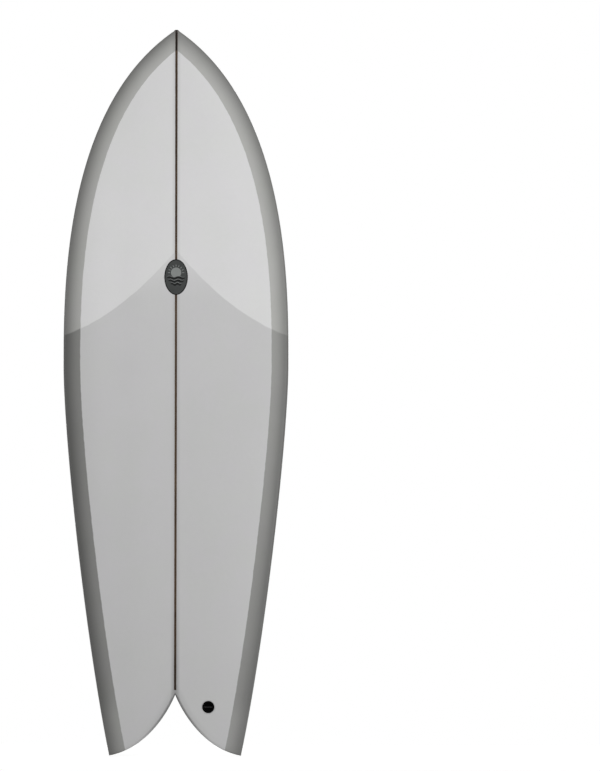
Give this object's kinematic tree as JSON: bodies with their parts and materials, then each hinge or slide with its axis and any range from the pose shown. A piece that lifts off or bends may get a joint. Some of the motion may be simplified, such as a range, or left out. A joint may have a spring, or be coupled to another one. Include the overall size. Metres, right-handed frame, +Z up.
{
  "type": "surfboard",
  "caption": "Shortboard surfboard of the twin-keel fish kind: foam blank with a timber stringer under tinted glass, swallow tail, sunk fin boxes and a leash plug.",
  "frame": {"origin": "on the stringer's plane, level with the two tail tips and half-way through the board at its thickest, where an upright rack holds it", "axes": "+Z up the board to the nose, +X across it toward the leash plug's half, the deck faces -Y and the bottom faces +Y"},
  "size_m": [0.5356, 0.1116, 1.727],
  "materials": {
    "foam": "closed-cell polyurethane foam, matt",
    "timber": "red cedar, sealed under glass",
    "glue": "dark glue line",
    "glass_cloth": "grey tinted glass and polyester resin",
    "patch_cloth": "grey tinted glass and polyester resin",
    "filler_resin": "sanded polyester resin, satin",
    "paper_grey": "printed rice paper under glass",
    "paper_dark": "printed rice paper under glass",
    "black_plastic": "black moulded plastic, sanded",
    "potting_resin": "milled-fibre polyester resin",
    "stainless": "stainless steel"
  },
  "bodies": {
    "board": {"foam_half_left": "foam", "foam_half_right": "foam", "stringer": "timber", "glue_line_left": "glue", "glue_line_right": "glue", "bottom_laminate": "glass_cloth", "deck_laminate": "glass_cloth", "deck_patch": "patch_cloth", "deck_sanding_coat": "filler_resin", "bottom_sanding_coat": "filler_resin", "deck_decal": "paper_grey", "bottom_decal": "paper_dark", "fin_box_left": "black_plastic", "fin_box_right": "black_plastic", "fin_box_bed_left": "potting_resin", "fin_box_bed_right": "potting_resin", "leash_plug_cup": "black_plastic", "leash_plug_bar": "stainless", "leash_plug_bed": "potting_resin"},
    "fin_screw_left": {"fin_screw_left": "stainless"},
    "fin_screw_right": {"fin_screw_right": "stainless"}
  },
  "joints": [
    {"name": "fin_screw_left_travel", "type": "slide", "parent": "board", "child": "fin_screw_left", "axis": [-0.0283, 0.6913, 0.722], "range_m": [0, 0.006]},
    {"name": "fin_screw_right_travel", "type": "slide", "parent": "board", "child": "fin_screw_right", "axis": [0.0283, 0.6913, 0.722], "range_m": [0, 0.006]}
  ]
}
